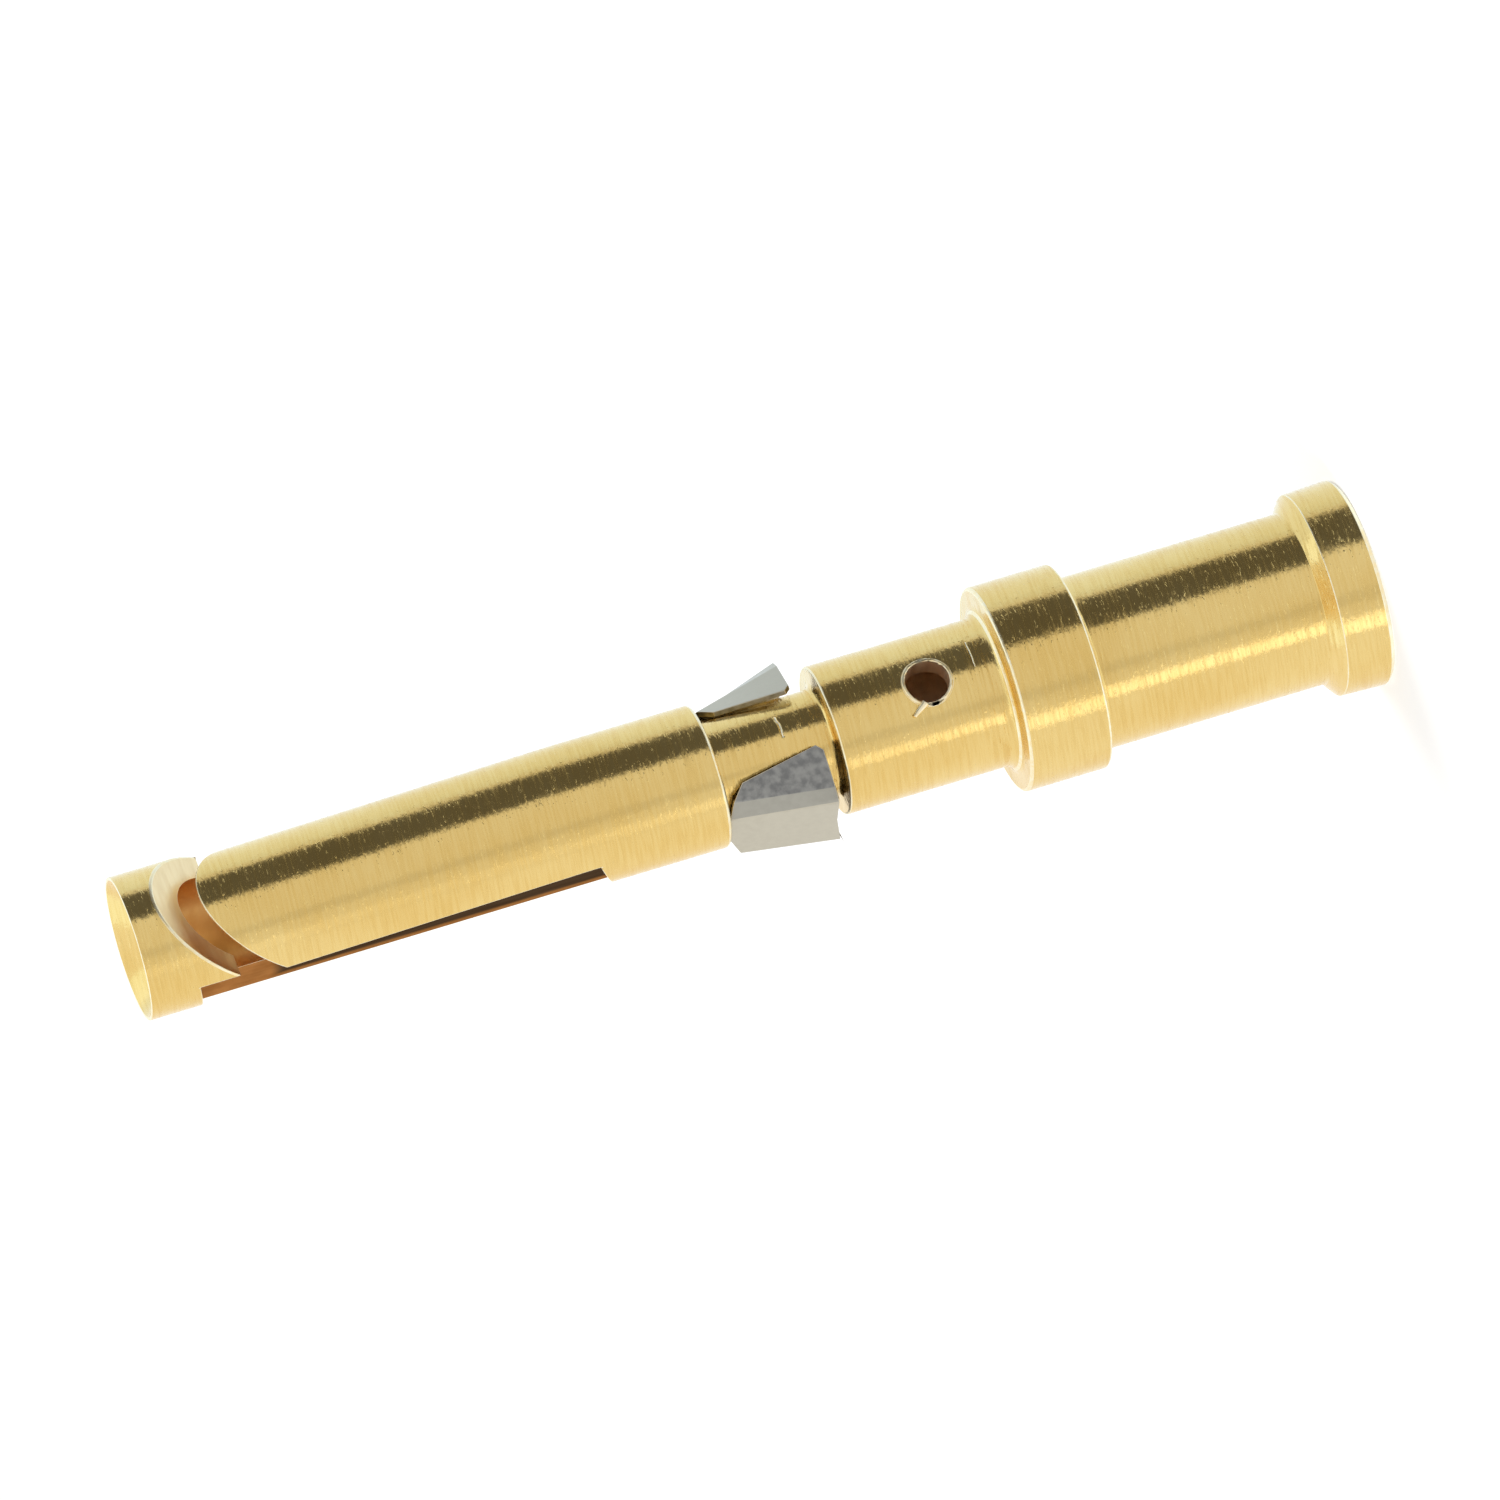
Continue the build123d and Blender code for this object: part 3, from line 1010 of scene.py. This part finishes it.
# The white surroundings are this much weaker where they light the floor
FLOOR_DIMMING = 0.45

# Direction from the contact to the camera, round the axis, and the camera's height angle
CAMERA_AZIMUTH = radians(-120)
CAMERA_RISE = radians(10.4)
CAMERA_ROLL = radians(16.638)
CAMERA_DISTANCE = 0.253
CAMERA_AIM_Z = 0.0109
CAMERA_SHIFT_UP = 0.000216
CAMERA_LENS = 360
CAMERA_SENSOR = 36
CAMERA_NEAR = 0.01
CAMERA_FAR = 5

# Soft lamps: turn from the camera's side and rise in degrees, distance, width and power
LAMPS = {
    "key_lamp": (-44, 35, 0.35, 0.12, 0.6),
    "top_lamp": (120, 60, 0.4, 0.2, 0.8),
}

TENT_RADIUS = 0.025
TENT_LOW = -0.045
TENT_HIGH = 0.075
TENT_FACETS = 96

# Brightness of the tent's wall at each turn from the camera, in degrees
TENT_WALL = [
    (-180, 1.05),
    (-100, 1.0),
    (-58, 0.98),
    (-50, 0.87),
    (-24, 0.84),
    (-18, 0.72),
    (-12, 0.72),
    (-6, 0.82),
    (37.5, 0.82),
    (43, 0.115),
    (84, 0.115),
    (88.5, 0.72),
    (104, 0.86),
    (180, 1.05),
]

# Daylight from the far side makes the upper bands a little cooler, from this turn on
COOL_TURN = 90
COOL_BLEND = (-0.01, 0.02)
COOL_LIGHT = (1.0, 1.13, 1.27, 1)

# The bright panel beside the camera: brightness added at each height in millimetres
PANEL_LOW = -20
PANEL_HIGH = 30
PANEL = [
    (-20, 0.75),
    (-1, 0.75),
    (3, 0.55),
    (7, 0.2),
    (9, 0.08),
    (19, 0.06),
    (24, 0.4),
    (30, 0.6),
]
PANEL_EDGES = (-54, -50, -42, -33)

# Above and below the middle the tent is lit brightly all round
BAND_LOW = -14
BAND_HIGH = 34
BAND_BLEND = 8
BAND_LEVEL = 1.15


def add_floor():
    """Pale floor: white to the camera, left out of reflections, and it keeps the contact's shadow."""
    bpy.ops.object.select_all(action="DESELECT")
    bpy.ops.mesh.primitive_plane_add(size=FLOOR_SIZE, location=(0, 0, 0))
    floor = bpy.context.active_object
    floor.name = "floor"
    shader = new_material("floor_paper")
    path = shader.node("ShaderNodeLightPath", output="Is Camera Ray")
    paper = shader.node("ShaderNodeBsdfDiffuse", {}, {"Color": grey(FLOOR_LEVEL)})
    glow = shader.node("ShaderNodeEmission", {}, {"Color": grey(1.0), "Strength": FLOOR_GLOW})
    lit = shader.node("ShaderNodeAddShader", {}, {0: paper, 1: glow})
    surface = shader.node("ShaderNodeMixShader", {}, {0: path, 1: paper, 2: lit})
    floor.data.materials.append(shader.output(surface))
    floor.visible_glossy = False


def turn_share(angle):
    """Where this turn from the camera, in degrees, lies on the way round from 0 to 1."""
    return angle / 360 + 0.5


def add_tent():
    """A light tent seen only in the contact's reflections: white, with dark and bright panels."""
    bpy.ops.object.select_all(action="DESELECT")
    bpy.ops.mesh.primitive_cylinder_add(
        vertices=TENT_FACETS,
        radius=TENT_RADIUS,
        depth=TENT_HIGH - TENT_LOW,
        end_fill_type="NOTHING",
        location=(0, 0, (TENT_HIGH + TENT_LOW) / 2),
    )
    tent = bpy.context.active_object
    bpy.ops.object.transform_apply(location=True, rotation=True, scale=True)
    tent.name = "light_tent"
    shader = new_material("tent_cloth")
    towards, across, height = shader.axes(shader.place(turn=(0, 0, -CAMERA_AZIMUTH)))
    turn = across.math("ARCTAN2", towards) / (2 * pi) + 0.5
    stops = [(turn_share(angle), grey(level)) for angle, level in TENT_WALL]
    wall = shader.node("ShaderNodeValToRGB", {"stops": stops}, {0: turn})
    span = PANEL_HIGH - PANEL_LOW
    stops = [((place - PANEL_LOW) / span, grey(level)) for place, level in PANEL]
    panel = shader.node("ShaderNodeValToRGB", {"stops": stops}, {0: (height - PANEL_LOW) / span})
    first, second, third, last = (turn_share(angle) for angle in PANEL_EDGES)
    beside = shader.ramp(turn, first, second) * shader.ramp(turn, last, third)
    level = panel * beside + wall
    outside = shader.ramp(height, BAND_LOW, BAND_LOW - BAND_BLEND)
    outside = outside + shader.ramp(height, BAND_HIGH, BAND_HIGH + BAND_BLEND)
    level = (1 - outside) * level + outside * BAND_LEVEL
    cool_start, cool_end = (turn_share(COOL_TURN) + blend for blend in COOL_BLEND)
    cool = shader.ramp(turn, cool_start, cool_end).math("MAXIMUM", outside)
    light = shader.mix(cool, grey(1.0), COOL_LIGHT)
    surface = shader.node("ShaderNodeEmission", {}, {"Color": light, "Strength": level})
    tent.data.materials.append(shader.output(surface))
    tent.visible_camera = False
    tent.visible_diffuse = False
    tent.visible_transmission = False
    tent.visible_volume_scatter = False
    tent.visible_shadow = False


def add_world():
    """Plain white, at full strength in the picture and in reflections, and softer on the floor."""
    world = bpy.data.worlds.new("studio")
    bpy.context.scene.world = world
    shader = Shader(world)
    diffuse = shader.node("ShaderNodeLightPath", output="Is Diffuse Ray")
    strength = 1.0 - diffuse * FLOOR_DIMMING
    surface = shader.node("ShaderNodeBackground", {}, {"Color": grey(1.0), "Strength": strength})
    shader.output(surface, "ShaderNodeOutputWorld")


def add_lamp(name, turn, rise, distance, size, power):
    """A square soft lamp aimed at the middle of the contact, turned from the camera's side."""
    lamp = bpy.data.lights.new(name, "AREA")
    lamp.shape = "SQUARE"
    lamp.size = size
    lamp.energy = power
    holder = bpy.data.objects.new(name, lamp)
    bpy.context.collection.objects.link(holder)
    azimuth = CAMERA_AZIMUTH + radians(turn)
    level = cos(radians(rise))
    away = Vector((cos(azimuth) * level, sin(azimuth) * level, sin(radians(rise))))
    holder.location = Vector((0, 0, CAMERA_AIM_Z)) + away * distance
    holder.rotation_mode = "QUATERNION"
    holder.rotation_quaternion = away.to_track_quat("Z", "Y")
    holder.visible_glossy = False


def add_camera():
    """A long lens a little above the mouth, rolled so that the axis runs across the picture."""
    towards = Vector((cos(CAMERA_AZIMUTH), sin(CAMERA_AZIMUTH), 0))
    across = Vector((-sin(CAMERA_AZIMUTH), cos(CAMERA_AZIMUTH), 0))
    up = Vector((0, 0, 1))
    back = up * sin(CAMERA_RISE) + towards * cos(CAMERA_RISE)
    down_axis = towards * sin(CAMERA_RISE) - up * cos(CAMERA_RISE)
    right = down_axis * cos(CAMERA_ROLL) - across * sin(CAMERA_ROLL)
    top = down_axis * sin(CAMERA_ROLL) + across * cos(CAMERA_ROLL)
    lens = bpy.data.cameras.new("camera")
    lens.lens = CAMERA_LENS
    lens.sensor_width = CAMERA_SENSOR
    lens.clip_start = CAMERA_NEAR
    lens.clip_end = CAMERA_FAR
    camera = bpy.data.objects.new("camera", lens)
    bpy.context.collection.objects.link(camera)
    place = up * CAMERA_AIM_Z + back * CAMERA_DISTANCE + across * CAMERA_SHIFT_UP
    camera.matrix_world = Matrix.Translation(place) @ Matrix((right, top, back)).transposed().to_4x4()
    bpy.context.scene.camera = camera


body = make_body([
    turned_gold(),
    edge_gold(),
    bored_gold("gold_bored", BORED_TONES, BORED_ROUGHNESS),
    bored_gold("gold_drilled_painted_light", DRILLED_PAINTED_LIGHT_TONES, DRILLED_ROUGHNESS),
    milled_gold(),
    sawn_gold(),
])
finish_piece(body, "turned_contact", "contact_body", EDGE)

clip = make_clip([
    clip_steel("clip_steel", STEEL_TONES),
    clip_steel("clip_steel_lip_painted_shade", LIP_PAINTED_SHADE_TONES),
    clip_steel("clip_steel_fold_painted_shade", FOLD_PAINTED_SHADE_TONES),
])
finish_piece(clip, "spring_clip", "retention_clip", SHEET_PLAIN)

add_floor()
add_tent()
add_world()
for lamp_name, lamp_values in LAMPS.items():
    add_lamp(lamp_name, *lamp_values)
add_camera()

bpy.context.scene.view_settings.view_transform = "Standard"
